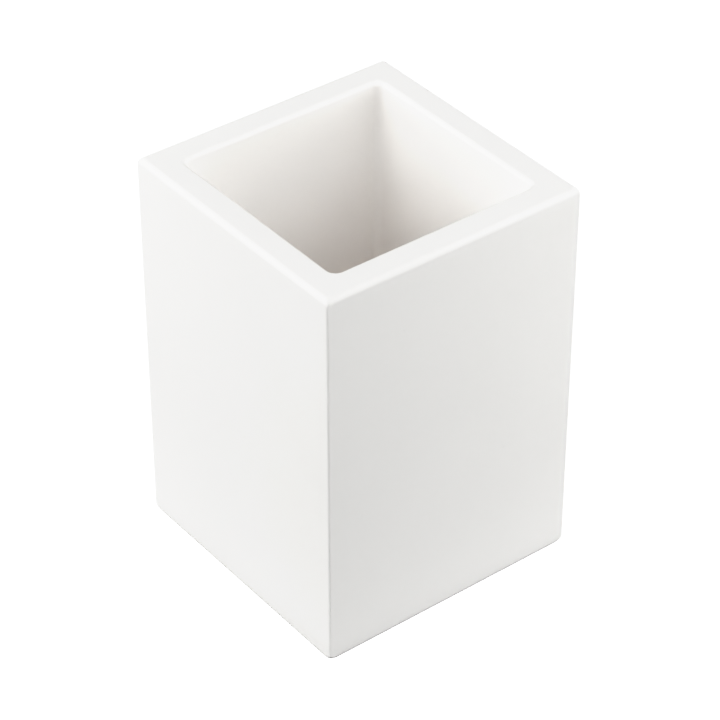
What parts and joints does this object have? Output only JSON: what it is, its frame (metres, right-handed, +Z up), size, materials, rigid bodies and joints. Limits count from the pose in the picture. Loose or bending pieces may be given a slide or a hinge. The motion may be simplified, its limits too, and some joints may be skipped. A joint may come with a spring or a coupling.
{
  "type": "pen holder cup",
  "caption": "Square, thick-walled, matt white desk cup for pens: mitred boards round a let-in base, coved inner corners, felt pad below.",
  "frame": {"origin": "centre of the flat face that the cup stands on, the underside of the felt pad", "axes": "+Z up through the open mouth, +X to the right and -Y to the front, each square to a wall"},
  "size_m": [0.07, 0.07, 0.1028],
  "materials": {
    "lacquer": "fibreboard under matt white sprayed lacquer",
    "filler": "hard filler under the same matt white lacquer",
    "felt": "pressed off-white felt"
  },
  "bodies": {
    "root": {"front_wall": "lacquer", "right_wall": "lacquer", "back_wall": "lacquer", "left_wall": "lacquer", "base_board": "lacquer", "front_right_cove": "filler", "back_right_cove": "filler", "back_left_cove": "filler", "front_left_cove": "filler", "felt_pad": "felt"}
  },
  "joints": []
}
